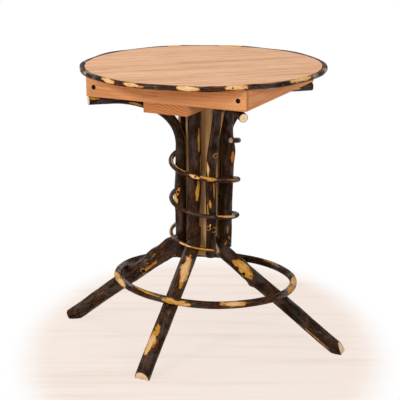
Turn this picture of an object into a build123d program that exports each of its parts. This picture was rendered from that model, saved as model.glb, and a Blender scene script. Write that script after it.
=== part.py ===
from build123d import *
from collections import namedtuple
from math import asin, atan2, ceil, cos, hypot, radians, sin, sqrt, tan
import os

# A tall round table of oak boards edged with hickory saplings, on a pedestal of bark-on
# hickory poles. Millimetres, +Z up, the origin on the floor under the middle of the post.
# +X is the right-hand leg's side, -Y is the front rail's side.

# --- sizes of the whole table -------------------------------------------------------------
table_height = 1067.0  # floor to the oak surface
top_diameter = 914.0  # over the sapling edging
seat_gap = 0.3  # between round pieces that lean on each other
fastener_slack = 0.1  # round every nail, screw and dowel
head_sink = 1.2  # below the crown of a round piece
full_turn = 360.0  # degrees

# --- oak top and its edging ---------------------------------------------------------------
board_thickness = 19.0
board_width = 126.0
board_direction = 43.0  # degrees from the front rail
edging_diameter = 18.5
edging_proud = 1.5  # above the oak
edging_count = 4
edging_first_joint = 8.0  # degrees
edging_scarf = 40.0  # degrees off a square cut
edging_nail_count = 28

# --- apron under the top ------------------------------------------------------------------
apron_side = 632.0
rail_thickness = 19.0
rail_height = 73.0
rail_screw_inset = 31.0  # from the end of the front or back rail
rail_screw_drop = 38.0  # below the underside of the boards
counterbore_diameter = 12.5
counterbore_depth = 8.0
block_leg = 60.0  # triangular corner block, along each rail
block_screw_inset = 22.0  # from the inner faces of both rails
block_counterbore_depth = 30.0

# --- plank across the apron and the post under it -----------------------------------------
plank_width = 173.0
plank_thickness = 38.0
plank_shift = 4.5  # towards +X
plank_screw_spacing = 100.0
post_side = 100.0
post_edge_chamfer = 2.2
post_bottom = 338.0
post_screw_spacing = 56.0

# --- straight poles on the faces of the post ----------------------------------------------
Pole = namedtuple("Pole", "name face diameter low_shift high_shift low_stand high_stand")
face_poles = [
    Pole("face_pole_front", -90.0, 46.0, -12.0, -2.0, seat_gap, seat_gap),
    Pole("face_pole_right", 0.0, 47.0, 23.3, 30.3, 7.0, 18.5),
    Pole("face_pole_back", 90.0, 46.0, 8.0, -4.0, seat_gap, seat_gap),
    Pole("face_pole_left", 180.0, 47.0, 12.0, 14.0, seat_gap, seat_gap),
]
pole_low_screw_height = 560.0  # above the floor
pole_high_screw_drop = 89.0  # below the plank

# --- bent arms at the corners of the post -------------------------------------------------
Arm = namedtuple("Arm", "name azimuth butt_diameter tip_diameter bottom bows")
arm_reach = 440.0  # from the post's axis to the arm's tip
arm_low_bend = 165.0  # centreline radius where the arm leaves the post
arm_high_bend = 350.0  # centreline radius where it levels off
arm_rise = 32.0  # degrees above level between the bends
arm_straight = 1.0  # of the rising run, between its two bends
front_knee_bend = 300.0
front_knee_drop = 250.0  # this drop and those below are from the underside of the apron
front_shoulder_bend = 80.0
front_shoulder_drop = 16.0
front_shoulder_reach = 185.0  # from the post's axis
front_crest_bend = 300.0
front_crest_drop = 8.0
front_crest_reach = 282.0
front_tip_drop = 26.5
front_tip_reach = 424.0
arms = [
    Arm("corner_arm_left", -135.0, 42.0, 33.0, 328.0, False),
    Arm("corner_arm_front", -45.0, 38.0, 32.0, 344.0, True),
    Arm("corner_arm_right", 45.0, 39.0, 33.0, 332.0, False),
    Arm("corner_arm_back", 135.0, 42.0, 33.0, 330.0, False),
]
arm_low_screw_height = 455.0  # above the floor
arm_high_screw_drop = 282.0  # below the plank
arm_tip_screw_inset = 22.0  # from the inner corner of the apron

# --- hoop that ties the legs together -----------------------------------------------------
hoop_length = 674.0  # centreline, along its long axis
hoop_breadth = 614.0  # centreline, across its long axis
hoop_turn = 26.0  # degrees from +X to the long axis
hoop_section = 28.5
hoop_seat_gap = 0.7  # above each leg
hoop_center = (5.0, 5.5)
hoop_height = 229.0
hoop_fall_x = 0.043  # height lost for each millimetre towards +X
hoop_fall_y = 0.035
hoop_scarf_azimuth = -12.0
hoop_scarf_angle = 25.0
hoop_kerf = 0.4

# --- legs ---------------------------------------------------------------------------------
# The sawn end meets the leg's axis at end_height and faces end_rise degrees above level.
Leg = namedtuple("Leg", "name face reach swing top_diameter foot_diameter end_height end_rise")
legs = [
    Leg("leg_right", 0.0, 555.0, 54.0, 54.0, 54.5, -8.0, 25.0),
    Leg("leg_front", -90.0, 505.0, -1.0, 56.0, 56.5, 4.0, -20.0),
    Leg("leg_left", 180.0, 563.0, 73.0, 67.0, 57.0, 2.0, -38.0),
    Leg("leg_back", 90.0, 520.0, -76.0, 56.0, 54.0, 8.0, -38.0),
]
leg_cheek_length = 54.0  # sawn flats beside the corner arms
leg_nose_width = 28.0  # what the flats leave at the post
dowel_diameter = 16.0
dowel_depth = 32.0  # into the post, and as much into the leg
dowel_drop = 14.0  # below the leg's axis at the post

# --- sapling wound round the pedestal -----------------------------------------------------
winding_center = (4.0, 2.0)
winding_radius = 127.5
winding_turns = 2.92
winding_high = 796.0
winding_high_azimuth = -15.0
winding_pitch = 160.0  # at the upper end
winding_easing = 6.0  # of the pitch, for each turn down
winding_stations = 10  # in each turn
winding_low_diameter = 12.0
winding_high_diameter = 19.0
winding_nails_at = [  # azimuth, full turns down
    (17.0, 0),
    (-131.0, 0),
    (45.0, 1),
    (-131.0, 1),
    (45.0, 2),
    (-131.0, 2),
    (-50.0, 2),
]

# --- nails and screws ---------------------------------------------------------------------
Fastener = namedtuple("Fastener", "shank head head_height length point")
head_rim = 0.3  # straight edge of a countersunk head
point_radius = 0.2
hole_overrun = 2.4  # of a hole's mouth, beyond the head
edging_nail = Fastener(1.8, 3.6, 0.8, 34.0, 3.0)
winding_nail = Fastener(2.0, 4.0, 0.8, 44.0, 3.0)
hoop_nail = Fastener(2.0, 4.0, 0.8, 22.0, 3.0)
rail_screw = Fastener(4.5, 9.0, 3.0, 46.0, 6.0)
block_screw = Fastener(4.5, 9.0, 3.0, 58.0, 6.0)
plank_screw = Fastener(5.0, 10.0, 4.0, 72.0, 6.0)
post_screw = Fastener(6.0, 12.0, 5.0, 100.0, 8.0)
pole_screw = Fastener(4.5, 8.0, 4.0, 80.0, 6.0)
arm_screw = Fastener(4.5, 8.0, 4.0, 72.0, 6.0)
arm_tip_screw = Fastener(4.5, 8.0, 4.0, 62.0, 6.0)
hoop_screw = Fastener(4.5, 8.0, 4.0, 56.0, 6.0)

# --- heights and radii that follow --------------------------------------------------------
boards_underside = table_height - board_thickness
apron_bottom = boards_underside - rail_height
plank_underside = apron_bottom - plank_thickness
oak_radius = top_diameter / 2 - edging_diameter
edging_radius = oak_radius + edging_diameter / 2
edging_height = table_height + edging_proud - edging_diameter / 2
post_face = post_side / 2
post_corner = (post_side - post_edge_chamfer) / sqrt(2)
inner_half = apron_side / 2 - rail_thickness
arm_screw_heights = (arm_low_screw_height, plank_underside - arm_high_screw_drop)
pole_screw_heights = (pole_low_screw_height, plank_underside - pole_high_screw_drop)


def turned(start, direction, outline):
    """A solid turned about a line: outline lists (distance along the line, radius)."""
    start, direction = Vector(start), Vector(direction).normalized()
    across = Plane(origin=start, z_dir=direction).x_dir
    rim = [(r, d) for d, r in outline]
    points = [(0, rim[0][1])] + rim + [(0, rim[-1][1])]
    with BuildPart(mode=Mode.PRIVATE) as solid:
        with BuildSketch(Plane(origin=start, x_dir=across, z_dir=across.cross(direction))):
            with BuildLine():
                Polyline(*points, close=True)
            make_face()
        revolve(axis=Axis(start, direction))
    return solid.part


def rod(start, end, start_diameter, end_diameter):
    """A straight round piece, tapered if its two diameters differ."""
    along = Vector(end) - Vector(start)
    outline = [(0, start_diameter / 2), (along.length, end_diameter / 2)]
    return turned(start, along, outline)


def fastener(kind, head_at, direction, slack=0.0):
    """A nail or screw with its head at a point, or with slack the hole that takes it."""
    shank = kind.shank / 2 + slack
    head = kind.head / 2 + slack
    mouth = -hole_overrun if slack else 0
    outline = [(mouth, head), (head_rim, head), (kind.head_height, shank)]
    outline += [(kind.length - kind.point, shank), (kind.length + slack, point_radius)]
    return turned(head_at, direction, outline)


def drive(kind, places):
    """The fasteners at these (point, direction) places and the holes for them."""
    solids = [fastener(kind, at, way) for at, way in places]
    holes = [fastener(kind, at, way, fastener_slack) for at, way in places]
    return solids, holes


def polar(azimuth, distance, height=0.0):
    turn = radians(azimuth)
    return Vector(distance * cos(turn), distance * sin(turn), height)


def on_face(azimuth, out, shift, height):
    """A point given by its distance out of the post's axis and along a face."""
    return polar(azimuth, out, height) + polar(azimuth + 90, shift)


def upright(azimuth):
    """The vertical plane through the post's axis: x runs out, y runs up."""
    return Plane(origin=(0, 0, 0), x_dir=polar(azimuth, 1), z_dir=polar(azimuth - 90, 1))


def save(piece, name):
    piece.part.label = name
    export_step(piece.part, f"parts/{name}.step")


def save_fasteners(solids, name):
    with BuildPart() as group:
        add(solids)
    save(group, name)


def all_round(count):
    """Evenly spaced azimuths, the first half a step on from +X."""
    step = full_turn / count
    return [(i + 0.5) * step for i in range(count)]


os.makedirs("parts", exist_ok=True)

# --- where the nails and screws go --------------------------------------------------------
edging_nails, edging_nail_holes = drive(
    edging_nail,
    [
        (polar(a, top_diameter / 2, edging_height), polar(a, -1))
        for a in all_round(edging_nail_count)
    ],
)

rail_screw_x = apron_side / 2 - rail_screw_inset
rail_screw_y = apron_side / 2 - counterbore_depth
rail_screw_z = boards_underside - rail_screw_drop
rail_screws, rail_screw_holes = drive(
    rail_screw,
    [
        (Vector(x, -side * rail_screw_y, rail_screw_z), Vector(0, side, 0))
        for side in (1, -1)
        for x in (-rail_screw_x, rail_screw_x)
    ],
)

block_screw_at = inner_half - block_screw_inset
block_screw_z = apron_bottom + block_counterbore_depth
block_screws, block_screw_holes = drive(
    block_screw,
    [
        (Vector(x, y, block_screw_z), Vector(0, 0, 1))
        for x in (-block_screw_at, block_screw_at)
        for y in (-block_screw_at, block_screw_at)
    ],
)

rail_middle = (apron_side - rail_thickness) / 2
plank_screws, plank_screw_holes = drive(
    plank_screw,
    [
        (Vector(plank_shift + x, y, plank_underside), Vector(0, 0, 1))
        for x in (-plank_screw_spacing / 2, plank_screw_spacing / 2)
        for y in (-rail_middle, rail_middle)
    ],
)

post_screws, post_screw_holes = drive(
    post_screw,
    [
        (Vector(x, y, apron_bottom), Vector(0, 0, -1))
        for x in (-post_screw_spacing / 2, post_screw_spacing / 2)
        for y in (-post_screw_spacing / 2, post_screw_spacing / 2)
    ],
)


# --- top: boards cut to a circle, saplings nailed round them ------------------------------
board_count = ceil(2 * oak_radius / board_width)
for number in range(board_count):
    row = (number - (board_count - 1) / 2) * board_width
    with BuildPart() as top_board:
        with BuildSketch(Plane.XY.offset(boards_underside).rotated((0, 0, board_direction))):
            Circle(oak_radius)
            with Locations((0, row)):
                Rectangle(2 * top_diameter, board_width, mode=Mode.INTERSECT)
        extrude(amount=board_thickness)
        add(edging_nail_holes + block_screw_holes, mode=Mode.SUBTRACT)
    save(top_board, f"top_board_{number + 1}")

edging_span = full_turn / edging_count
edging_overrun = 3.0 * edging_diameter  # spare length beyond each joint before it is cut
for number in range(edging_count):
    first = edging_first_joint + number * edging_span
    spare = edging_overrun / radians(edging_radius)
    with BuildPart() as edge_sapling:
        with BuildSketch(upright(first - spare)):
            with Locations((edging_radius, edging_height)):
                Circle(edging_diameter / 2)
        revolve(axis=Axis.Z, revolution_arc=edging_span + 2 * spare)
        for joint, side in ((first, -1), (first + edging_span, 1)):
            scarf = Plane(
                origin=polar(joint, edging_radius, edging_height),
                x_dir=polar(joint + edging_scarf, 1),
                z_dir=(0, 0, 1),
            )
            with Locations(scarf):
                Box(
                    4 * edging_overrun,
                    2 * edging_overrun,
                    2 * edging_diameter,
                    align=(Align.CENTER, Align.MIN if side > 0 else Align.MAX, Align.CENTER),
                    mode=Mode.SUBTRACT,
                )
        add(edging_nail_holes, mode=Mode.SUBTRACT)
    save(edge_sapling, f"edge_sapling_{number + 1}")
save_fasteners(edging_nails, "edge_nails")


# --- apron: front and back rails lap the side rails, blocks fill the corners --------------
for name, side in (("apron_rail_front", -1), ("apron_rail_back", 1)):
    with BuildPart() as lapping_rail:
        with Locations((0, side * rail_middle, apron_bottom)):
            Box(
                apron_side,
                rail_thickness,
                rail_height,
                align=(Align.CENTER, Align.CENTER, Align.MIN),
            )
        for x in (-rail_screw_x, rail_screw_x):
            face = Plane(
                origin=(x, side * apron_side / 2, rail_screw_z),
                x_dir=(1, 0, 0),
                z_dir=(0, side, 0),
            )
            with Locations(face):
                CounterBoreHole(
                    rail_screw.shank / 2 + fastener_slack,
                    counterbore_diameter / 2,
                    counterbore_depth,
                    depth=rail_thickness,
                )
        add(rail_screw_holes + plank_screw_holes, mode=Mode.SUBTRACT)
    save(lapping_rail, name)

for name, side in (("apron_rail_left", -1), ("apron_rail_right", 1)):
    with BuildPart() as side_rail:
        with Locations((side * rail_middle, 0, apron_bottom)):
            Box(
                rail_thickness,
                2 * inner_half,
                rail_height,
                align=(Align.CENTER, Align.CENTER, Align.MIN),
            )
    save(side_rail, name)

arm_tip_screw_at = inner_half * sqrt(2) - arm_tip_screw_inset
arm_tip_places = [
    (
        polar(arm.azimuth, arm_tip_screw_at, apron_bottom - arm.tip_diameter + head_sink),
        Vector(0, 0, 1),
    )
    for arm in arms
]
arm_tip_screws, arm_tip_screw_holes = drive(arm_tip_screw, arm_tip_places)

for arm in arms:
    along_x = 1 if cos(radians(arm.azimuth)) > 0 else -1
    along_y = 1 if sin(radians(arm.azimuth)) > 0 else -1
    corner = (along_x * inner_half, along_y * inner_half)
    with BuildPart() as corner_block:
        with BuildSketch(Plane.XY.offset(apron_bottom)):
            with BuildLine():
                Polyline(
                    corner,
                    (corner[0] - along_x * block_leg, corner[1]),
                    (corner[0], corner[1] - along_y * block_leg),
                    close=True,
                )
            make_face()
        extrude(amount=rail_height)
        underside = Plane(
            origin=(along_x * block_screw_at, along_y * block_screw_at, apron_bottom),
            z_dir=(0, 0, -1),
        )
        with Locations(underside):
            CounterBoreHole(
                block_screw.shank / 2 + fastener_slack,
                counterbore_diameter / 2,
                block_counterbore_depth,
                depth=rail_height,
            )
        add(rail_screw_holes + block_screw_holes + arm_tip_screw_holes, mode=Mode.SUBTRACT)
    save(corner_block, arm.name.replace("corner_arm", "corner_block"))
save_fasteners(rail_screws, "rail_screws")
save_fasteners(block_screws, "block_screws")


# --- plank let in below the apron, screwed up into the front and back rails ---------------
with BuildPart() as cross_plank:
    with Locations((plank_shift, 0, plank_underside)):
        Box(
            plank_width,
            apron_side,
            plank_thickness,
            align=(Align.CENTER, Align.CENTER, Align.MIN),
        )
    add(plank_screw_holes + post_screw_holes, mode=Mode.SUBTRACT)
save(cross_plank, "cross_plank")
save_fasteners(plank_screws, "plank_screws")
save_fasteners(post_screws, "post_screws")


# --- hoop and the lines of the legs under it ----------------------------------------------
long_axis = polar(hoop_turn, 1)
hoop_plane = Plane(
    origin=(hoop_center[0], hoop_center[1], hoop_height),
    x_dir=(long_axis.X, long_axis.Y, -hoop_fall_x * long_axis.X - hoop_fall_y * long_axis.Y),
    z_dir=(hoop_fall_x, hoop_fall_y, 1),
)


def rounded_out(level):
    """A level vector in the hoop's directions, stretched so that the hoop is a circle."""
    turned_back = level.rotate(Axis.Z, -hoop_turn)
    return Vector(turned_back.X, turned_back.Y * hoop_length / hoop_breadth, 0)


def hoop_crossing(start, foot):
    """Where the hoop's centreline passes over the line from start to foot."""
    run = Vector(foot.X - start.X, foot.Y - start.Y, 0)
    way = run.normalized()
    back = rounded_out(Vector(start.X - hoop_center[0], start.Y - hoop_center[1], 0))
    step = rounded_out(way)
    middle = step.dot(back) / step.length**2
    beyond = (back.length**2 - (hoop_length / 2) ** 2) / step.length**2
    reach = sqrt(middle**2 - beyond) - middle
    at = start + way * reach
    fall = hoop_fall_x * (at.X - hoop_center[0]) + hoop_fall_y * (at.Y - hoop_center[1])
    return Vector(at.X, at.Y, hoop_height - fall), reach, run.length


def leg_axis(leg):
    """The leg's axis from the post's face to the floor, just under the hoop."""
    start = polar(leg.face, post_face)
    foot = on_face(leg.face, leg.reach, leg.swing, 0)
    crossing, reach, run = hoop_crossing(start, foot)
    share = reach / run
    section = leg.top_diameter + (leg.foot_diameter - leg.top_diameter) * share
    apart = (hoop_section + section) / 2 + hoop_seat_gap
    sight = atan2(crossing.Z, run - reach)
    slope = sight - asin(apart / hypot(crossing.Z, run - reach))
    return Vector(start.X, start.Y, run * tan(slope)), foot, slope, crossing


def leg_square(leg):
    """The direction square to the leg's axis, up and out."""
    top, foot, slope, _ = leg_axis(leg)
    level = Vector(foot.X - top.X, foot.Y - top.Y, 0).normalized()
    return level * sin(slope) + Vector(0, 0, cos(slope))


hoop_places = []
for leg in legs:
    crossing, up = leg_axis(leg)[3], leg_square(leg)
    hoop_places.append((crossing + up * (hoop_section / 2 - head_sink), up * -1))
hoop_screws, hoop_screw_holes = drive(hoop_screw, hoop_places)

scarf_along = hoop_section / tan(radians(hoop_scarf_angle))  # half of it each side
scarf_at = hoop_plane.from_local_coords(
    (
        hoop_length / 2 * cos(radians(hoop_scarf_azimuth - hoop_turn)),
        hoop_breadth / 2 * sin(radians(hoop_scarf_azimuth - hoop_turn)),
        0,
    )
)
hoop_scarf = Plane(
    origin=scarf_at, x_dir=scarf_at - hoop_plane.origin, z_dir=hoop_plane.z_dir
)
hoop_nail_places = [
    (
        hoop_scarf.from_local_coords(Vector(0, step, hoop_section / 2 - head_sink)),
        hoop_scarf.z_dir * -1,
    )
    for step in (-scarf_along / 4, scarf_along / 4)
]
hoop_nails, hoop_nail_holes = drive(hoop_nail, hoop_nail_places)

with BuildPart() as foot_hoop:
    with BuildLine(hoop_plane) as hoop_line:
        EllipticalCenterArc((0, 0), hoop_length / 2, hoop_breadth / 2, arc_size=full_turn)
    with BuildSketch(Plane(origin=hoop_line.line @ 0, z_dir=hoop_line.line % 0)):
        Circle(hoop_section / 2)
    sweep(path=hoop_line.line)
    with Locations(hoop_scarf.rotated((hoop_scarf_angle, 0, 0))):
        Box(2 * hoop_section, 2 * scarf_along, hoop_kerf, mode=Mode.SUBTRACT)
    add(hoop_screw_holes + hoop_nail_holes, mode=Mode.SUBTRACT)
save(foot_hoop, "foot_hoop")
save_fasteners(hoop_screws, "hoop_screws")
save_fasteners(hoop_nails, "hoop_nails")


# --- post, and the dowels that the legs hang on -------------------------------------------
def dowel(leg, slack=0.0):
    middle = leg_axis(leg)[0] - Vector(0, 0, dowel_drop)
    half = polar(leg.face, dowel_depth + slack)
    diameter = dowel_diameter + 2 * slack
    return rod(middle - half, middle + half, diameter, diameter)


leg_dowels = [dowel(leg) for leg in legs]
leg_dowel_holes = [dowel(leg, fastener_slack) for leg in legs]

arm_screw_places = [
    (
        polar(arm.azimuth, post_corner + arm.butt_diameter - head_sink, height),
        polar(arm.azimuth, -1),
    )
    for arm in arms
    for height in arm_screw_heights
]
arm_screws, arm_screw_holes = drive(arm_screw, arm_screw_places)


def pole_axis(pole, height):
    """The point of the pole's axis at a height between the floor end and the plank."""
    share = (height - post_bottom) / (plank_underside - post_bottom)
    stand = pole.low_stand + (pole.high_stand - pole.low_stand) * share
    shift = pole.low_shift + (pole.high_shift - pole.low_shift) * share
    return on_face(pole.face, post_face + stand + pole.diameter / 2, shift, height)


def pole_screw_place(pole, height):
    """The screw's head lies just inside the outer side of the pole."""
    head = pole_axis(pole, height) + polar(pole.face, pole.diameter / 2 - head_sink)
    return head, polar(pole.face, -1)


pole_screws, pole_screw_holes = drive(
    pole_screw,
    [pole_screw_place(pole, height) for pole in face_poles for height in pole_screw_heights],
)

with BuildPart() as post:
    with Locations((0, 0, post_bottom)):
        Box(
            post_side,
            post_side,
            plank_underside - post_bottom,
            align=(Align.CENTER, Align.CENTER, Align.MIN),
        )
    chamfer(post.edges().filter_by(Axis.Z), length=post_edge_chamfer)
    add(post_screw_holes + leg_dowel_holes, mode=Mode.SUBTRACT)
    add(arm_screw_holes + pole_screw_holes, mode=Mode.SUBTRACT)
save(post, "post")
save_fasteners(leg_dowels, "leg_dowels")
save_fasteners(arm_screws, "arm_screws")
save_fasteners(pole_screws, "pole_screws")


# --- sapling wound round the pedestal -----------------------------------------------------
def winding_at(turns):
    """The winding's centreline, counted in turns down from its upper end."""
    azimuth = winding_high_azimuth + full_turn * turns
    height = winding_high - winding_pitch * turns + winding_easing * turns**2
    return polar(azimuth, winding_radius, height) + Vector(*winding_center)


def winding_nail_place(azimuth, full_turns):
    """A nail through the winding at an azimuth, so many full turns down."""
    turns = (azimuth - winding_high_azimuth) % full_turn / full_turn + full_turns
    narrowing = (winding_high_diameter - winding_low_diameter) * turns / winding_turns
    section = winding_high_diameter - narrowing
    head = winding_at(turns) + polar(azimuth, section / 2 - head_sink)
    return head, polar(azimuth, -1)


winding_nails, winding_nail_holes = drive(
    winding_nail,
    [winding_nail_place(azimuth, full_turns) for azimuth, full_turns in winding_nails_at],
)

station_count = round(winding_stations * winding_turns)
stations = [winding_at(winding_turns * i / station_count) for i in range(station_count + 1)]
with BuildPart() as spiral_sapling:
    with BuildLine() as winding:
        Spline(*stations)
    with BuildSketch(Plane(origin=winding.line @ 0, z_dir=winding.line % 0)):
        Circle(winding_high_diameter / 2)
    with BuildSketch(Plane(origin=winding.line @ 1, z_dir=winding.line % 1)):
        Circle(winding_low_diameter / 2)
    sweep(path=winding.line, multisection=True)
    add(winding_nail_holes, mode=Mode.SUBTRACT)
save(spiral_sapling, "spiral_sapling")
save_fasteners(winding_nails, "winding_nails")


# --- bent arms ----------------------------------------------------------------------------
def arm_line(arm):
    """Corners of the arm's centreline and the radius of its bend at each."""
    out = post_corner + arm.butt_diameter / 2 + seat_gap
    if arm.bows:
        corners = [
            (out, arm.bottom),
            (out, apron_bottom - front_knee_drop),
            (front_shoulder_reach, apron_bottom - front_shoulder_drop),
            (front_crest_reach, apron_bottom - front_crest_drop),
            (front_tip_reach, apron_bottom - front_tip_drop),
        ]
        return corners, (front_knee_bend, front_shoulder_bend, front_crest_bend)
    level = apron_bottom - arm.tip_diameter / 2 - seat_gap
    rise = radians(arm_rise)
    low_turn = arm_low_bend * tan((radians(90) - rise) / 2)
    high_turn = arm_high_bend * tan(rise / 2)
    run = low_turn + arm_straight + high_turn
    knee = (out, level - run * sin(rise))
    shoulder = (out + run * cos(rise), level)
    corners = [(out, arm.bottom), knee, shoulder, (arm_reach, level)]
    return corners, (arm_low_bend, arm_high_bend)


for arm in arms:
    corners, bends = arm_line(arm)
    with BuildPart() as corner_arm:
        with BuildLine(upright(arm.azimuth)) as bent:
            FilletPolyline(*corners, radius=bends)
        with BuildSketch(Plane(origin=bent.line @ 0, z_dir=bent.line % 0)):
            Circle(arm.butt_diameter / 2)
        with BuildSketch(Plane(origin=bent.line @ 1, z_dir=bent.line % 1)):
            Circle(arm.tip_diameter / 2)
        sweep(path=bent.line, multisection=True)
        add(arm_screw_holes + arm_tip_screw_holes + winding_nail_holes, mode=Mode.SUBTRACT)
    save(corner_arm, arm.name)
save_fasteners(arm_tip_screws, "arm_tip_screws")


# --- legs, butted and dowelled to the post's faces ----------------------------------------
for leg in legs:
    top, foot, slope, _ = leg_axis(leg)
    down = (foot - top).normalized()
    end = foot - down * (leg.end_height / sin(slope))
    level = Vector(down.X, down.Y, 0).normalized()
    rise = radians(leg.end_rise)
    facing = level * cos(rise) + Vector(0, 0, sin(rise))
    taper = (leg.foot_diameter - leg.top_diameter) / (foot - top).length
    over_top = top - down * leg.top_diameter
    past_foot = foot + down * leg.foot_diameter
    over_diameter = leg.top_diameter * (1 - taper)
    past_diameter = leg.foot_diameter * (1 + taper)
    with BuildPart() as round_leg:
        add(rod(over_top, past_foot, over_diameter, past_diameter))
        split(bisect_by=Plane.XY, keep=Keep.TOP)
        split(bisect_by=Plane(origin=end, z_dir=facing), keep=Keep.BOTTOM)
        nose = Plane(
            origin=on_face(leg.face, post_face, 0, top.Z),
            x_dir=polar(leg.face, 1),
            z_dir=(0, 0, 1),
        )
        flat_turn = atan2((leg.top_diameter - leg_nose_width) / 2, leg_cheek_length)
        split(bisect_by=Plane(origin=nose.origin, z_dir=nose.x_dir), keep=Keep.TOP)
        for side in (1, -1):
            cheek = on_face(leg.face, post_face, side * leg_nose_width / 2, top.Z)
            outward = polar(leg.face, -sin(flat_turn)) + polar(leg.face + 90, side * cos(flat_turn))
            split(bisect_by=Plane(origin=cheek, z_dir=outward), keep=Keep.BOTTOM)
        add(leg_dowel_holes + hoop_screw_holes, mode=Mode.SUBTRACT)
    save(round_leg, leg.name)


# --- straight poles, mitred to stand on the legs ------------------------------------------
leg_at_face = {leg.face: leg for leg in legs}
for pole in face_poles:
    leg = leg_at_face[pole.face]
    up = leg_square(leg)
    ridge = leg_axis(leg)[0] + up * (leg.top_diameter / 2 + seat_gap)
    with BuildPart() as face_pole:
        add(
            rod(
                pole_axis(pole, post_bottom),
                pole_axis(pole, plank_underside + pole.diameter),
                pole.diameter,
                pole.diameter,
            )
        )
        split(bisect_by=Plane.XY.offset(plank_underside), keep=Keep.BOTTOM)
        split(bisect_by=Plane(origin=ridge, z_dir=up), keep=Keep.TOP)
        add(pole_screw_holes + winding_nail_holes, mode=Mode.SUBTRACT)
    save(face_pole, pole.name)
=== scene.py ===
from math import acos, atan2, cos, exp, pi, radians, sin, sqrt, tan
import bmesh
import bpy
import numpy as np
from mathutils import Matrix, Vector


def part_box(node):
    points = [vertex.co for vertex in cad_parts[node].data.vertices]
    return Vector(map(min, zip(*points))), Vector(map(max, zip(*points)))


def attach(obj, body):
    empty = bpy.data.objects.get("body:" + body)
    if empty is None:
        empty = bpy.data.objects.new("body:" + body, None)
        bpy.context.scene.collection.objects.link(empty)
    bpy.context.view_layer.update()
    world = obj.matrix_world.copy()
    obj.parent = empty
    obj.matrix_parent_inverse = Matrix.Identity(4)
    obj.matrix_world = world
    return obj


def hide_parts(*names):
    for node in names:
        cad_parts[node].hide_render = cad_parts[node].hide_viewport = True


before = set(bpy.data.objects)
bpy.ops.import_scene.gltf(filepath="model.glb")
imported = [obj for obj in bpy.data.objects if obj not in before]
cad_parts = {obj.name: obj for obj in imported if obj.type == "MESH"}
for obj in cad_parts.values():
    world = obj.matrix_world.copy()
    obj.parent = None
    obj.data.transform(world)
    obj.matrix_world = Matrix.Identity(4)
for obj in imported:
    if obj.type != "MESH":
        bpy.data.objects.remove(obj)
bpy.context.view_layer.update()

# a tall round table: oak boards with a bark edging, on a bundle of bark-on hickory poles
# metres, +Z up, the floor at z = 0, angles in degrees
scene = bpy.context.scene


def polar(azimuth, distance, height=0.0):
    turn = radians(azimuth)
    return Vector((distance * cos(turn), distance * sin(turn), height))


def resampled(points, step):
    # the same line with its points evenly spaced
    line = np.array([tuple(p) for p in points])
    run = np.r_[0, np.cumsum(np.linalg.norm(np.diff(line, axis=0), axis=1))]
    even = np.linspace(0, run[-1], max(3, int(run[-1] / step) + 1))
    return np.stack([np.interp(even, run, line[:, axis]) for axis in range(3)], axis=1)


def bowedLine(start, end, bow=(0, 0, 0)):
    # a straight run whose middle is pushed sideways by bow
    steps = np.linspace(0, 1, 60)
    return [start.lerp(end, t) + Vector(bow) * sin(pi * t) for t in steps]


def bentLine(corners, bends, azimuth):
    # corners are (distance from the axis, height), each inner one rounded to its bend radius
    flat = [Vector(corner) for corner in corners]
    line = [flat[0]]
    for before, corner, after, bend in zip(flat, flat[1:], flat[2:], bends):
        back = (before - corner).normalized()
        ahead = (after - corner).normalized()
        half = acos(back.dot(ahead)) / 2
        center = corner + (back + ahead).normalized() * bend / sin(half)
        first = corner + back * bend / tan(half) - center
        last = corner + ahead * bend / tan(half) - center
        sweep = (atan2(last.y, last.x) - atan2(first.y, first.x) + pi) % (2 * pi) - pi
        for t in np.linspace(0, 1, 24):
            turn = atan2(first.y, first.x) + sweep * t
            line.append(center + Vector((cos(turn), sin(turn))) * bend)
    line.append(flat[-1])
    return [polar(azimuth, p.x, p.y) for p in line]


# strokes of missing bark: from along, from angle, to along, to angle, width, tone
#   tone 0 is cream sapwood, 0.5 ochre, 1 orange-brown
# knots and swellings: along, angle, radius, raised by
# angles turn round the pole from its crown direction

barkBuild = {
    "ringStep": 0.004,
    "waves": 9,  # summed for each layer of bumps
    "coarseBumps": (3, 14, 3),  # fewest and most for each metre, and most round the pole
    "fineBumps": (14, 45, 5),
    "fineShare": 0.45,  # of the coarse bumps' height
    "drift": 0.0009,  # sideways wander of the heart
    "swayLength": 0.31,  # of one full sway of the heart, there and back
    "swayShift": 0.37,  # sways between one seed and the next
    "asideRate": 0.71,  # sideways sways for each outward one
    "markingShift": 0.731,  # along the bark between one seed and the next, so that none repeat
    "peelDepth": 0.0005,
    "peelSlope": 4,  # share of that depth for each centimetre in from a stroke's edge
    "strokeTaper": 0.45,  # share of its width that a stroke loses at the ends
    "knotDimple": 0.35,  # share of a knot's height by which its middle sinks
    "dimpleWidth": 1 / 3,  # share of a knot's radius
    "knotReach": 1.5,  # radii that a knot's colours reach
}


def waveField(along, angle, seed, low, high, turns):
    # smooth bumps that close on themselves round the pole
    pick = np.random.RandomState(seed)
    total = np.zeros(np.broadcast(along, angle).shape)
    for _ in range(barkBuild["waves"]):
        cycles, lobes = pick.uniform(low, high), pick.randint(0, turns + 1)
        total += pick.uniform(0.5, 1) * np.sin(
            2 * pi * cycles * along + lobes * angle + pick.uniform(0, 2 * pi)
        )
    return total / barkBuild["waves"]


def around(angle, center):
    return (angle - np.radians(center) + pi) % (2 * pi) - pi


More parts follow.
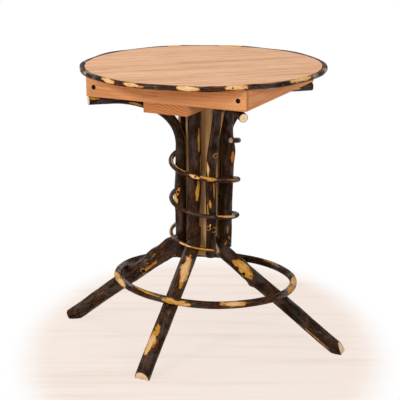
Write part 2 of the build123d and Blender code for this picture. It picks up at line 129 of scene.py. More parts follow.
def peelField(along, angle, girth, strokes):
    # signed distance inside the nearest stroke, in centimetres, its tone and its half width
    depth = np.full(np.broadcast(along, angle).shape, -2.0)
    tone = np.zeros_like(depth)
    fray = np.full_like(depth, 0.3)
    for fromAlong, fromAngle, toAlong, toAngle, width, shade in strokes:
        reach = toAlong - fromAlong
        t = np.clip((along - fromAlong) / (reach if abs(reach) > 1e-4 else 1e-4), 0, 1)
        beyond = along - (fromAlong + t * reach)
        offset = around(angle, fromAngle + t * (toAngle - fromAngle)) * girth
        taper = 1 - barkBuild["strokeTaper"] * np.abs(2 * t - 1)
        inside = (width / 2 * taper - np.hypot(beyond, offset)) * 100
        tone = np.where(inside > depth, shade, tone)
        fray = np.where(inside > depth, width * 50, fray)
        depth = np.maximum(depth, inside)
    return depth, tone, fray


def poleSkin(piece, along, angle, radius):
    # how far the skin is from the heart, and what the bark material reads from it
    seed, lumps, middle = piece["seed"], piece["lumps"], float(radius.mean())
    uneven = lumps * waveField(along, angle, seed, *barkBuild["coarseBumps"])
    fineLumps = lumps * barkBuild["fineShare"]
    uneven += fineLumps * waveField(along, angle, seed + 50, *barkBuild["fineBumps"])
    skin = radius * np.ones_like(angle) + uneven * radius
    peel, tone, fray = peelField(along, angle, middle, piece["strokes"])
    skin -= barkBuild["peelDepth"] * np.clip(peel * barkBuild["peelSlope"], 0, 1)
    knot = np.zeros_like(skin)
    for knotAlong, knotAngle, knotRadius, raised in piece["knots"]:
        away = np.hypot(along - knotAlong, around(angle, knotAngle) * middle) / knotRadius
        dimple = barkBuild["knotDimple"] * raised * np.exp(-(away / barkBuild["dimpleWidth"]) ** 2)
        skin += raised * np.exp(-away**2) - dimple
        knot = np.maximum(knot, np.clip(1 - away / barkBuild["knotReach"], 0, 1))
    for lumpAlong, lumpAngle, lumpRadius, raised in piece.get("swellings", ()):
        away = np.hypot(along - lumpAlong, around(angle, lumpAngle) * middle) / lumpRadius
        skin += raised * np.exp(-away**2)
    return skin, {"peel": peel, "tone": tone, "fray": fray, "knot": knot}


def barkPole(node, line, girths, crown, piece, cuts=(), alongStart=0.0):
    # girths: diameters along the line; crown: the direction of angle 0, or the point that
    # angle 0 faces away from where the piece says crownIsCenter
    center = resampled(line, piece.get("step", barkBuild["ringStep"]))
    ringCount, sides, seed = len(center), piece["sides"], piece["seed"]
    tangent = np.gradient(center, axis=0)
    tangent /= np.linalg.norm(tangent, axis=1)[:, None]
    outward = np.array(tuple(crown))[None, :] * np.ones((ringCount, 1))
    if piece.get("crownIsCenter"):
        outward = center - outward
        outward[:, 2] = 0
    outward -= (outward * tangent).sum(1)[:, None] * tangent
    outward /= np.linalg.norm(outward, axis=1)[:, None]
    aside = np.cross(tangent, outward)

    run = np.r_[0, np.cumsum(np.linalg.norm(np.diff(center, axis=0), axis=1))]
    if "wrapRadius" in piece:  # a ring: lengths follow from the azimuth
        swing = np.unwrap(np.arctan2(center[:, 1] - crown[1], center[:, 0] - crown[0]))
        run = (swing - swing[0]) * piece["wrapRadius"]
    along = (run + alongStart)[:, None]
    angle = np.linspace(0, 2 * pi, sides, endpoint=False)[None, :]
    share = np.linspace(0, 1, ringCount)[:, None]
    radius = np.interp(share, np.linspace(0, 1, len(girths)), np.array(girths) / 2)
    skin, fields = poleSkin(piece, along, angle, radius)
    fields["girth"] = radius * np.ones_like(skin)

    swayLength = piece.get("swayLength", barkBuild["swayLength"])
    sway = 2 * pi * ((run + alongStart) / swayLength + seed * barkBuild["swayShift"])
    drift = piece.get("drift", barkBuild["drift"])
    heart = center + outward * (np.sin(sway) * drift)[:, None]
    heart = heart + aside * (np.sin(sway * barkBuild["asideRate"]) * drift)[:, None]
    ringOut = np.cos(angle)[..., None] * outward[:, None, :]
    ringAside = np.sin(angle)[..., None] * aside[:, None, :]
    points = heart[:, None, :] + skin[..., None] * (ringOut + ringAside)
    straight = np.stack([skin * np.cos(angle), skin * np.sin(angle), along + 0 * skin], axis=2)
    straight[..., 2] += seed * barkBuild["markingShift"]

    first = np.arange((ringCount - 1) * sides).reshape(ringCount - 1, sides)
    beside = np.roll(first, -1, axis=1)
    faces = np.stack([first, beside, beside + sides, first + sides], axis=2).reshape(-1, 4)
    mesh = bpy.data.meshes.new(f"{node}_bark")
    mesh.from_pydata(points.reshape(-1, 3).tolist(), [], faces.tolist())
    layer = mesh.attributes.new("straightened", "FLOAT_VECTOR", "POINT")
    layer.data.foreach_set("vector", straight.ravel())
    for label, values in fields.items():
        layer = mesh.attributes.new(label, "FLOAT", "POINT")
        layer.data.foreach_set("value", values.ravel())
    mesh.polygons.foreach_set("use_smooth", [True] * len(mesh.polygons))
    trimPole(mesh, cuts)
    mesh.materials.append(piece["bark"])
    mesh.materials.append(sawnEnd)

    pole = bpy.data.objects.new(f"{node}_bark", mesh)
    scene.collection.objects.link(pole)
    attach(pole, "root")
    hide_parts(node)


def trimPole(mesh, cuts):
    # each cut is a point, the direction that falls away, how far from the point it acts,
    # and what the cut shows: 0 bark, 1 sawn wood
    work = bmesh.new()
    work.from_mesh(mesh)
    bmesh.ops.holes_fill(work, edges=[e for e in work.edges if e.is_boundary], sides=0)
    for point, away, reach, finish in cuts:
        near = [v for v in work.verts if (v.co - point).length < reach]
        marked = set(near)
        faces = [f for f in work.faces if all(v in marked for v in f.verts)]
        edges = {e for f in faces for e in f.edges}
        cut = bmesh.ops.bisect_plane(
            work,
            geom=near + list(edges) + faces,
            plane_co=point,
            plane_no=away,
            clear_outer=True,
        )
        seam = [g for g in cut["geom_cut"] if isinstance(g, bmesh.types.BMEdge)]
        filled = bmesh.ops.holes_fill(work, edges=seam, sides=0)["faces"]
        for edge in seam:
            edge.smooth = False
        for face in filled:
            face.smooth = False
            face.material_index = finish
    work.normal_update()
    work.to_mesh(mesh)
    work.free()


def addNode(tree, kind, inputs=None, **settings):
    made = tree.nodes.new(kind)
    for key, value in settings.items():
        setattr(made, key, value)
    for key, value in (inputs or {}).items():
        if isinstance(value, bpy.types.NodeSocket):
            tree.links.new(value, made.inputs[key])
        else:
            made.inputs[key].default_value = value
    return made


def math(tree, operation, first, second=0.0, third=0.0):
    inputs = {0: first, 1: second, 2: third}
    return addNode(tree, "ShaderNodeMath", inputs, operation=operation).outputs[0]


def product(tree, *values):
    total = values[0]
    for value in values[1:]:
        total = math(tree, "MULTIPLY", total, value)
    return total


def weighted(tree, *pairs):
    # the sum of some values, each times its weight
    total = 0.0
    for value, weight in pairs:
        total = math(tree, "MULTIPLY_ADD", value, weight, total)
    return total


def opposite(tree, value):
    return math(tree, "SUBTRACT", 1.0, value)


def vectorMath(tree, operation, first, second=(0, 0, 0)):
    node = addNode(tree, "ShaderNodeVectorMath", {0: first, 1: second}, operation=operation)
    return node.outputs["Value" if operation in ("LENGTH", "DOT_PRODUCT") else "Vector"]


def combined(tree, x, y, z=0.0):
    return addNode(tree, "ShaderNodeCombineXYZ", {0: x, 1: y, 2: z}).outputs[0]


def blend(tree, factor, first, second):
    inputs = {"Factor": factor, 6: first, 7: second}
    return addNode(tree, "ShaderNodeMix", inputs, data_type="RGBA").outputs[2]


def ramp(tree, value, low, high, fromValue=0.0, toValue=1.0):
    inputs = {"Value": value, 1: low, 2: high, 3: fromValue, 4: toValue}
    node = addNode(tree, "ShaderNodeMapRange", inputs, interpolation_type="SMOOTHSTEP")
    return node.outputs[0]


def cloud(tree, vector, scale=1.0, detail=4.0, roughness=0.55):
    inputs = {"Vector": vector, "Scale": scale, "Detail": detail, "Roughness": roughness}
    return addNode(tree, "ShaderNodeTexNoise", inputs).outputs[0]


def attribute(tree, name, output="Fac"):
    return addNode(tree, "ShaderNodeAttribute", attribute_name=name).outputs[output]


def newGroup(name, inputs, outputs=("Colour", "Roughness", "Height")):
    # inputs: each socket's name and its value when nothing is set
    group = bpy.data.node_groups.new(name, "ShaderNodeTree")
    kinds = {0: "NodeSocketFloat", 3: "NodeSocketVector", 4: "NodeSocketColor"}
    for label, value in inputs.items():
        kind = kinds[len(value) if isinstance(value, tuple) else 0]
        socket = group.interface.new_socket(label, in_out="INPUT", socket_type=kind)
        socket.default_value = value
    for label in outputs:
        kind = kinds[4 if label == "Colour" else 0]
        group.interface.new_socket(label, in_out="OUTPUT", socket_type=kind)
    return group, group.nodes.new("NodeGroupInput").outputs


def handOut(group, **values):
    result = group.nodes.new("NodeGroupOutput")
    for label, socket in values.items():
        group.links.new(socket, result.inputs[label])
    return group


def finishedWith(name, group, values, bumpDistance, **fixed):
    # a material whose colour, roughness, bump and any coat come from one group
    material = bpy.data.materials.new(name)
    material.use_nodes = True
    tree = material.node_tree
    shader = tree.nodes["Principled BSDF"]
    placed = addNode(tree, "ShaderNodeGroup", values, node_tree=group).outputs
    tree.links.new(placed["Colour"], shader.inputs["Base Color"])
    tree.links.new(placed["Roughness"], shader.inputs["Roughness"])
    if "Coat" in placed:
        tree.links.new(placed["Coat"], shader.inputs["Coat Weight"])
    bump = addNode(tree, "ShaderNodeBump", {"Height": placed["Height"], "Distance": bumpDistance})
    tree.links.new(bump.outputs[0], shader.inputs["Normal"])
    for label, value in fixed.items():
        shader.inputs[label.replace("_", " ")].default_value = value
    return material


barkTones = {
    "black": (0.0085, 0.0036, 0.0016, 1),
    "brown": (0.0380, 0.0140, 0.0050, 1),
    "umber": (0.0950, 0.0360, 0.0125, 1),
    "rust": (0.2600, 0.0820, 0.0140, 1),
    "speck": (0.3400, 0.2000, 0.0900, 1),
    "flake": (0.1500, 0.0850, 0.0500, 1),
    "cream": (0.8200, 0.5400, 0.2400, 1),
    "ochre": (0.5200, 0.2750, 0.0280, 1),
    "orange": (0.5000, 0.1750, 0.0260, 1),
    "rim": (0.2000, 0.0600, 0.0090, 1),
    "pit": (0.0080, 0.0045, 0.0030, 1),
}
# scale, detail and roughness of each noise
barkNoise = {
    "fissures": (230, 6, 0.68),
    "plates": (62, 5, 0.62),
    "blotches": (24, 4, 0.55),
    "grit": (330, 3, 0.6),
    "flakes": (150, 5, 0.7),
    "broadFray": (75, 3),
    "fineFray": (260, 4, 0.6),
    "worn": (38, 4, 0.6),
}


def buildBarkGroup():
    group, given = newGroup(
        "hickoryBark",
        {"Brownness": 0.5, "Mottling": 0.5, "Specks": 0.5, "Gloss": 0.5},
        ("Colour", "Coat", "Roughness", "Height"),
    )

    def tinted(mask, under, tone):
        return blend(group, mask, under, barkTones[tone])

    place = attribute(group, "straightened", "Vector")
    fibreWay = vectorMath(group, "MULTIPLY", place, (1, 1, 0.16))
    plateWay = vectorMath(group, "MULTIPLY", place, (1, 1, 0.38))
    fissures = cloud(group, fibreWay, *barkNoise["fissures"])
    plates = cloud(group, plateWay, *barkNoise["plates"])
    blotches = cloud(group, plateWay, *barkNoise["blotches"])
    grit = cloud(group, place, *barkNoise["grit"])

    # bark
    browner = product(group, ramp(group, plates, 0.40, 0.60), given["Brownness"])
    bark = tinted(browner, barkTones["black"], "brown")
    patchy = ramp(group, blotches, 0.44, 0.60)
    lit = product(group, ramp(group, fissures, 0.46, 0.62), patchy, given["Brownness"])
    bark = tinted(lit, bark, "umber")
    rusty = product(
        group,
        ramp(group, fissures, 0.56, 0.66),
        given["Mottling"],
        ramp(group, plates, 0.47, 0.58),
    )
    bark = tinted(rusty, bark, "rust")
    specks = product(group, ramp(group, grit, 0.64, 0.70), given["Specks"], patchy)
    bark = tinted(specks, bark, "speck")
    flaky = cloud(group, plateWay, *barkNoise["flakes"])
    flakes = product(group, ramp(group, flaky, 0.50, 0.64, 0.0, 0.60), given["Specks"])
    bark = tinted(flakes, bark, "flake")

    # bare wood where the bark is gone, with a ragged rust-coloured border
    fray = attribute(group, "fray")
    broadCloud = cloud(group, plateWay, *barkNoise["broadFray"])
    broadNoise = math(group, "SUBTRACT", broadCloud, 0.5)
    fineCloud = cloud(group, plateWay, *barkNoise["fineFray"])
    fineNoise = math(group, "SUBTRACT", fineCloud, 0.5)
    broadFray, fineFray = product(group, broadNoise, 1.5), product(group, fineNoise, 0.8)
    ragged = product(group, math(group, "ADD", broadFray, fineFray), fray)
    edge = math(group, "DIVIDE", math(group, "ADD", attribute(group, "peel"), ragged), fray)
    bare = ramp(group, edge, -0.06, 0.10)
    unevenTone = math(group, "SUBTRACT", plates, 0.5)
    tone = math(group, "MULTIPLY_ADD", unevenTone, 1.1, attribute(group, "tone"))
    wood = tinted(ramp(group, tone, 0.1, 0.5), barkTones["cream"], "ochre")
    wood = tinted(ramp(group, tone, 0.55, 0.95), wood, "orange")
    streaks = ramp(group, fissures, 0.50, 0.66, 0.0, 0.6)
    wood = tinted(streaks, wood, "orange")
    border = opposite(group, ramp(group, edge, 0.10, 0.50))
    wood = tinted(product(group, border, 0.8), wood, "orange")
    line = opposite(group, ramp(group, edge, 0.04, 0.20))
    wood = tinted(product(group, line, 0.8), wood, "rim")
    dots = product(group, ramp(group, grit, 0.66, 0.71), ramp(group, blotches, 0.48, 0.56))
    wood = tinted(dots, wood, "brown")
    colour = blend(group, bare, bark, wood)

    # knots: a pit inside a broken pale ring
    knot = math(group, "MULTIPLY_ADD", fineFray, 0.16, attribute(group, "knot"))
    knot = math(group, "MULTIPLY_ADD", broadFray, 0.14, knot)
    ring = product(group, ramp(group, knot, 0.20, 0.30), ramp(group, plates, 0.42, 0.50))
    colour = tinted(ring, colour, "ochre")
    pit = ramp(group, knot, 0.40, 0.48)
    colour = tinted(pit, colour, "pit")

    # the bark is rubbed smooth in places, and shines there
    worn = ramp(group, cloud(group, plateWay, *barkNoise["worn"]), 0.46, 0.60)
    gloss = product(group, worn, given["Gloss"])
    rough = math(group, "MULTIPLY_ADD", gloss, -0.30, 0.56)
    rough = math(group, "MULTIPLY_ADD", ramp(group, grit, 0.4, 0.7), 0.10, rough)
    height = weighted(
        group,
        (fissures, 0.8),
        (plates, 1.0),
        (grit, 0.18),
        (flakes, 0.22),
        (bare, -0.35),
        (pit, -0.8),
    )
    coat = product(group, gloss, opposite(group, bare))
    return handOut(group, Colour=colour, Coat=coat, Roughness=rough, Height=height)


endTones = {
    "early": (0.86, 0.68, 0.44, 1),
    "late": (0.66, 0.44, 0.24, 1),
    "heart": (0.55, 0.34, 0.18, 1),
    "dirt": (0.22, 0.13, 0.08, 1),
    "ringsPerMetre": 2600 / (2 * pi),
}


def buildEndGrainGroup():
    group, given = newGroup("sawnEnd", {"Dirt": 0.3})
    place = attribute(group, "straightened", "Vector")
    across = vectorMath(group, "MULTIPLY", place, (1, 1, 0))
    radius = vectorMath(group, "LENGTH", across)
    share = math(group, "DIVIDE", radius, attribute(group, "girth"))
    wobble = cloud(group, across, 90, 3)
    turns = product(group, radius, 2 * pi * endTones["ringsPerMetre"])
    rings = math(group, "SINE", math(group, "MULTIPLY_ADD", wobble, 4.0, turns))
    sawn = cloud(group, across, 520, 4, 0.7)
    colour = blend(
        group, ramp(group, rings, -0.2, 1.0, 0, 0.55), endTones["early"], endTones["late"]
    )
    colour = blend(group, ramp(group, share, 0.55, 0.0, 0.0, 0.45), colour, endTones["heart"])
    dirty = product(group, ramp(group, sawn, 0.5, 0.75), given["Dirt"])
    colour = blend(group, dirty, colour, endTones["dirt"])
    inner = ramp(group, math(group, "MULTIPLY_ADD", wobble, 0.06, share), 0.90, 0.94)
    colour = blend(group, inner, colour, barkTones["orange"])
    outer = ramp(group, math(group, "MULTIPLY_ADD", wobble, 0.05, share), 0.955, 0.985)
    colour = blend(group, outer, colour, barkTones["brown"])
    rough = ramp(group, sawn, 0.3, 0.7, 0.62, 0.8)
    height = weighted(group, (sawn, 0.8), (rings, 0.15))
    return handOut(group, Colour=colour, Roughness=rough, Height=height)


# brownness, mottling, specks, gloss, depth of the bumps
barkAmounts = {
    "poleBark": (0.75, 0.35, 0.25, 0.45, 0.0018),
    "legBark": (1.0, 0.65, 0.7, 0.45, 0.0026),
    "saplingBark": (1.0, 0.9, 0.15, 0.6, 0.0006),
    "edgingBark": (1.0, 0.6, 0.25, 0.65, 0.0006),
}
barkShine = {"Specular_IOR_Level": 0.06, "Coat_Roughness": 0.26}
barkGroup = buildBarkGroup()
barks = {}
for name, (*amounts, depth) in barkAmounts.items():
    values = dict(zip(("Brownness", "Mottling", "Specks", "Gloss"), amounts))
    barks[name] = finishedWith(name, barkGroup, values, depth, **barkShine)
sawnEnd = finishedWith("sawnEnd", buildEndGrainGroup(), {"Dirt": 0.35}, 0.0005)
print("bark materials")


# each noise along the grain and across it, its detail and roughness
timberNoise = {
    "heart": (1.6, 7, 3, 0.5),
    "pores": (9, 420, 3, 0.6),
    "streaks": (5.5, 74, 5, 0.7),
    "fine": (3.2, 210, 4, 0.65),
    "broad": (1.3, 16, 3, 0.55),
    "pale": (2.1, 30, 2, 0.55),
    "fibre": (30, 900, 3, 0.6),
}


def buildTimberGroup():
    group, given = newGroup(
        "planedTimber",
        {
            "Along": (1, 0, 0),
            "Across": (0, 1, 0),
            "Seed": 0.0,
            "Light": (0.74, 0.46, 0.27, 1),
            "Dark": (0.52, 0.27, 0.14, 1),
            "Pale": (0.86, 0.62, 0.44, 1),
            "Contrast": 0.5,
            "Ring pitch": 0.006,
        },
    )
    place = addNode(group, "ShaderNodeTexCoord").outputs["Object"]
    along = vectorMath(group, "DOT_PRODUCT", place, given["Along"])
    across = vectorMath(group, "DOT_PRODUCT", place, given["Across"])
    third = vectorMath(group, "CROSS_PRODUCT", given["Along"], given["Across"])
    through = vectorMath(group, "DOT_PRODUCT", place, third)
    shift = product(group, given["Seed"], 3.17)

    def grainNoise(name):
        alongScale, acrossScale, detail, roughness = timberNoise[name]
        x = math(group, "MULTIPLY_ADD", along, alongScale, shift)
        y = math(group, "MULTIPLY_ADD", across, acrossScale, shift)
        z = product(group, through, acrossScale)
        return cloud(group, combined(group, x, y, z), 1.0, detail, roughness)

    # year rings: distance from a heart line that lies beside the board and wanders
    heart = math(group, "MULTIPLY_ADD", grainNoise("heart"), 0.085, across)
    below = math(group, "MULTIPLY_ADD", given["Seed"], 0.013, 0.03)
    deep = math(group, "ADD", through, below)
    distance = vectorMath(group, "LENGTH", combined(group, heart, deep))
    turns = math(group, "DIVIDE", product(group, distance, 2 * pi), given["Ring pitch"])
    late = ramp(group, math(group, "SINE", turns), -0.1, 1.0)
    pores = ramp(group, grainNoise("pores"), 0.52, 0.70)
    streaks = ramp(group, grainNoise("streaks"), 0.50, 0.61)
    fine = ramp(group, grainNoise("fine"), 0.50, 0.66)
    broad = ramp(group, grainNoise("broad"), 0.42, 0.68)
    tint = weighted(
        group, (late, 0.28), (fine, 0.30), (pores, 0.34), (streaks, 0.58), (broad, 0.36)
    )
    tint = product(group, tint, given["Contrast"])
    facing = addNode(group, "ShaderNodeNewGeometry").outputs["True Normal"]
    endFacing = vectorMath(group, "DOT_PRODUCT", facing, given["Along"])
    sawnEnds = ramp(group, math(group, "ABSOLUTE", endFacing), 0.8, 0.95)
    endTint = product(group, sawnEnds, math(group, "MULTIPLY_ADD", late, 0.75, 0.45))
    tint = math(group, "MAXIMUM", tint, endTint)
    colour = blend(group, tint, given["Light"], given["Dark"])
    pale = ramp(group, grainNoise("pale"), 0.55, 0.75, 0.0, 0.25)
    colour = blend(group, product(group, pale, opposite(group, sawnEnds)), colour, given["Pale"])
    fibre = grainNoise("fibre")
    rough = ramp(group, fibre, 0.3, 0.7, 0.46, 0.62)
    height = weighted(group, (fibre, 0.6), (pores, -0.6))
    return handOut(group, Colour=colour, Roughness=rough, Height=height)


oakFinish = {
    "light": (0.700, 0.430, 0.260, 1),
    "dark": (0.480, 0.180, 0.076, 1),
    "pale": (0.760, 0.530, 0.400, 1),
    "contrast": 0.80,
    "shine": 0.05,
    "direction": 43,  # degrees from the front rail
    "boards": 7,
    "seam": 0.0006,  # eased edge of each board
    "tones": (1.0, 0.97, 1.02, 0.96, 1.01, 0.98, 1.0),
}
railFinish = {
    "light": (0.730, 0.345, 0.145, 1),
    "dark": (0.450, 0.140, 0.036, 1),
    "pale": (0.790, 0.480, 0.290, 1),
    "contrast": 0.62,
    "shine": 0.08,
}
postFinish = {
    "light": (0.720, 0.440, 0.200, 1),
    "dark": (0.390, 0.180, 0.065, 1),
    "pale": (0.780, 0.540, 0.290, 1),
    "contrast": 0.55,
    "shine": 0.12,
}


def buildHoleShadeGroup():
    # painted shade: darkens the openings and walls of two drilled holes that mirror each other
    # across x = 0
    group, given = newGroup(
        "paintedHoleShade",
        {"Colour": (0.5, 0.5, 0.5, 1), "Aside": 0.285, "Height": 1.01, "Radius": 0.0085},
        ("Colour",),
    )
    place = addNode(group, "ShaderNodeTexCoord").outputs["Object"]
    apart = addNode(group, "ShaderNodeSeparateXYZ", {0: place}).outputs
    aside = math(group, "SUBTRACT", math(group, "ABSOLUTE", apart["X"]), given["Aside"])
    above = math(group, "SUBTRACT", apart["Z"], given["Height"])
    away = vectorMath(group, "LENGTH", combined(group, aside, above))
    # painted shade: near black inside each hole's radius
    shadeInHole = ramp(group, math(group, "DIVIDE", away, given["Radius"]), 1.15, 0.9)
    return handOut(group, Colour=blend(group, shadeInHole, given["Colour"], (0.012, 0.007, 0.005, 1)))


# puts the painted hole shade in front of a material's own colour
def drilled(material, group):
    tree = material.node_tree
    shader = tree.nodes["Principled BSDF"]
    plain = shader.inputs["Base Color"].links[0].from_socket
    holeShadeNode = addNode(tree, "ShaderNodeGroup", node_tree=group)
    tree.links.new(plain, holeShadeNode.inputs["Colour"])
    tree.links.new(holeShadeNode.outputs["Colour"], shader.inputs["Base Color"])
    return material


timberGroup = buildTimberGroup()
holeShadeGroup = buildHoleShadeGroup()


def timber(name, finish, along, across, seed, tone=1.0, ringPitch=0.006):
    values = {
        "Along": along,
        "Across": across,
        "Seed": seed,
        "Light": tuple(c * tone for c in finish["light"][:3]) + (1,),
        "Dark": tuple(c * tone for c in finish["dark"][:3]) + (1,),
        "Pale": finish["pale"],
        "Contrast": finish["contrast"],
        "Ring pitch": ringPitch,
    }
    return finishedWith(name, timberGroup, values, 0.0003, Specular_IOR_Level=finish["shine"])


def dress(node, material, edge=0.0):
    # a frame node keeps its shape and gets a finish, and eased edges where it is a board
    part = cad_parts[node]
    part.data.materials.clear()
    part.data.materials.append(material)
    if edge:
        weld = part.modifiers.new("joined", "WELD")
        weld.merge_threshold = 0.00002
        ease = part.modifiers.new("eased", "BEVEL")
        ease.width = edge
        ease.segments = 2
        ease.limit_method = "ANGLE"
        ease.angle_limit = radians(50)
        ease.harden_normals = False


grainWay = tuple(polar(oakFinish["direction"], 1))
grainSide = tuple(polar(oakFinish["direction"] + 90, 1))
for number in range(oakFinish["boards"]):
    board = timber(
        f"oakBoard{number + 1}",
        oakFinish,
        grainWay,
        grainSide,
        number + 1.0,
        oakFinish["tones"][number],
        0.010 + 0.0015 * (number % 3),
    )
    dress(f"top_board_{number + 1}", board, oakFinish["seam"])

xWay, yWay, zWay, slantWay = (1, 0, 0), (0, 1, 0), (0, 0, 1), (0.7, 0, 0.7)
easedEdge = 0.0015
# material, grain way, the way across it, seed, tone, ring pitch
rails = {
    "apron_rail_front": ("frontRail", xWay, zWay, 2.3, 1.0, 0.011),
    "apron_rail_back": ("backRail", xWay, zWay, 4.1, 1.0, 0.012),
    "apron_rail_left": ("leftRail", yWay, zWay, 5.7, 1.0, 0.012),
    "apron_rail_right": ("rightRail", yWay, zWay, 7.2, 1.0, 0.012),
    "cross_plank": ("crossPlank", yWay, slantWay, 8.9, 0.84, 0.0085),
}
for node, (name, along, *grain) in rails.items():
    material = timber(name, railFinish, along, *grain)
    if node in ("apron_rail_front", "apron_rail_back"):
        # the front and back rails get painted shade in their screw holes
        drilled(material, holeShadeGroup)
    dress(node, material, easedEdge)
dress("post", timber("postWood", postFinish, zWay, xWay, 1.4))
blockWood = timber("blockWood", railFinish, zWay, xWay, 3.3, 0.95)
for corner in ("left", "front", "right", "back"):
    dress(f"corner_block_{corner}", blockWood, 0.001)
print("timber")


def buildSteelGroup():
    group, given = newGroup("zincSteel", {"Tarnish": 0.4, "Steel": (0.66, 0.63, 0.58, 1)})
    place = addNode(group, "ShaderNodeTexCoord").outputs["Object"]
    spots = cloud(group, place, 900, 4, 0.6)
    worn = product(group, ramp(group, spots, 0.4, 0.7), given["Tarnish"])
    colour = blend(group, worn, given["Steel"], (0.20, 0.15, 0.11, 1))
    rough = ramp(group, spots, 0.3, 0.7, 0.28, 0.5)
    return handOut(group, Colour=colour, Roughness=rough, Height=spots)


steelGroup = buildSteelGroup()
zincSteel = finishedWith("zincSteel", steelGroup, {"Tarnish": 0.5}, 0.0001, Metallic=1.0)
# near-black steel, dark in part as painted shade in the counterbores where the screws sit
shadedBlackSteel = finishedWith(
    "shadedBlackSteel",
    steelGroup,
    {"Tarnish": 0.3, "Steel": (0.03, 0.028, 0.026, 1)},
    0.0001,
    Metallic=1.0,
)
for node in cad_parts:
    if node.endswith("nails"):
        dress(node, zincSteel)
    # the screws get the near-black steel that also paints the counterbores' shade
    elif node.endswith("screws"):
        dress(node, shadedBlackSteel)
dress("leg_dowels", timber("dowelWood", postFinish, xWay, zWay, 6.6))
print("steel and dowels")


def scattered(seed, count, alongRange, angleRange, widths=(0.006, 0.016)):
    # strokes of missing bark for the sides away from the front
    pick = np.random.RandomState(seed)
    strokes = []
    for _ in range(count):
        start, turn = pick.uniform(*alongRange), pick.uniform(*angleRange)
        strokes.append(
            (
                start,
                turn,
                start + pick.uniform(0.01, 0.07),
                turn + pick.uniform(-20, 20),
                pick.uniform(*widths),
                pick.uniform(0.1, 1.0),
            )
        )
    return strokes


postFace = 0.05
soleLevel = 0.0
cheekTurn = radians(14.5)  # of the sawn flats beside the corner arms
noseHalfWidth = 0.014
legLook = {"bark": barks["legBark"], "slot": "pole_bark", "sides": 56, "lumps": 0.035}
legReach = 0.3  # how far round a cut's point it acts
# endHeight: of the middle of the sawn foot; endRise: how far that cut faces up from level
# cheeks: what the flats beside the corner arms show, 0 bark or 1 sawn wood
legs = {
    "leg_right": {
        "top": (0.05, 0.0, 0.37344),
        "foot": (0.555, 0.054, 0.0),
        "girths": (0.054, 0.0545),
        "endHeight": -0.008,
        "endRise": 25,
        "cheeks": 1,
        "bark": barks["poleBark"],
        "seed": 11,
        "strokes": [
            (0.098, 70, 0.135, 60, 0.026, 0.7),
            (0.118, 52, 0.176, 62, 0.050, 0.42),
            (0.150, 88, 0.188, 78, 0.028, 0.5),
            (0.470, 110, 0.584, 115, 0.007, 0.6),
        ],
        "knots": [(0.159, 96, 0.008, 0.001), (0.184, 72, 0.0035, 0.0)],
        "swellings": [(0.204, 128, 0.014, 0.009), (0.160, 95, 0.03, 0.0015)],
    },
    "leg_front": {
        "top": (0.0, -0.05, 0.4175),
        "foot": (-0.001, -0.505, 0.0),
        "girths": (0.056, 0.0565),
        "endHeight": 0.004,
        "endRise": -20,
        "cheeks": 0,
        "seed": 12,
        "strokes": [
            (0.100, -35, 0.150, -33, 0.012, 0.5),
            (0.120, -36, 0.212, -44, 0.046, 0.05),
            (0.190, -46, 0.240, -50, 0.020, 0.45),
            (0.412, 4, 0.470, 6, 0.034, 0.5),
            (0.440, 4, 0.520, 20, 0.046, 0.2),
        ],
        "knots": [(0.430, 6, 0.0035, 0.0)],
    },
    "leg_left": {
        "top": (-0.05, 0.0, 0.40366),
        "foot": (-0.563, -0.073, 0.0),
        "girths": (0.067, 0.063, 0.059, 0.057),
        "endHeight": 0.002,
        "endRise": -38,
        "cheeks": 0,
        "seed": 13,
        "lumps": 0.06,
        "strokes": [
            (0.257, -135, 0.262, -137, 0.009, 0.2),
            (0.150, -105, 0.172, -90, 0.006, 0.9),
            (0.200, -112, 0.228, -107, 0.0035, 0.5),
            (0.110, -60, 0.125, -70, 0.005, 0.8),
        ],
        "knots": [(0.250, -112, 0.010, 0.002), (0.215, -70, 0.006, 0.001)],
        "swellings": [
            (0.105, -10, 0.028, 0.006),
            (0.185, -15, 0.035, 0.007),
            (0.130, -160, 0.050, 0.005),
            (0.245, -100, 0.030, 0.002),
            (0.300, -20, 0.020, 0.003),
            (0.318, 0, 0.016, 0.0035),
            (0.420, -30, 0.030, 0.002),
        ],
    },
    "leg_back": {
        "top": (0.0, 0.05, 0.378),
        "foot": (0.076, 0.520, 0.0),
        "girths": (0.056, 0.054),
        "endHeight": 0.008,
        "endRise": -38,
        "cheeks": 0,
        "seed": 14,
        "strokes": scattered(14, 6, (0.1, 0.5), (-120, 120), (0.01, 0.024)),
        "knots": [(0.3, 40, 0.012, 0.0015)],
    },
}


def legDirections(leg):
    down = (Vector(leg["foot"]) - Vector(leg["top"])).normalized()
    level = Vector((down.x, down.y, 0)).normalized()
    up = level * -down.z + Vector((0, 0, down.xy.length))
    return down, level, up


for name, leg in legs.items():
    top, foot = Vector(leg["top"]), Vector(leg["foot"])
    down, level, up = legDirections(leg)
    end = foot + down * (leg["endHeight"] / down.z)
    rise = radians(leg["endRise"])
    faceWay = Vector((round(level.x), round(level.y), 0))
    side = Vector((-faceWay.y, faceWay.x, 0))
    nose = faceWay * postFace + Vector((0, 0, top.z))
    cuts = [
        (end, level * cos(rise) + Vector((0, 0, sin(rise))), legReach, 1),
        (Vector((end.x, end.y, soleLevel)), Vector((0, 0, -1)), legReach, 1),
        (nose, -faceWay, legReach, 1),
    ]
    for way in (1, -1):
        outward = side * way * cos(cheekTurn) - faceWay * sin(cheekTurn)
        cuts.append((nose + side * way * noseHalfWidth, outward, legReach, leg["cheeks"]))
    girth = leg["girths"][0]
    line = bowedLine(top - down * girth, foot + down * 0.06)
    farSide = scattered(leg["seed"] + 200, 4, (0.1, 0.5), (150, 250))
    piece = {**legLook, **leg, "strokes": leg["strokes"] + farSide}
    barkPole(name, line, leg["girths"], up, piece, cuts, -girth)
print("legs")


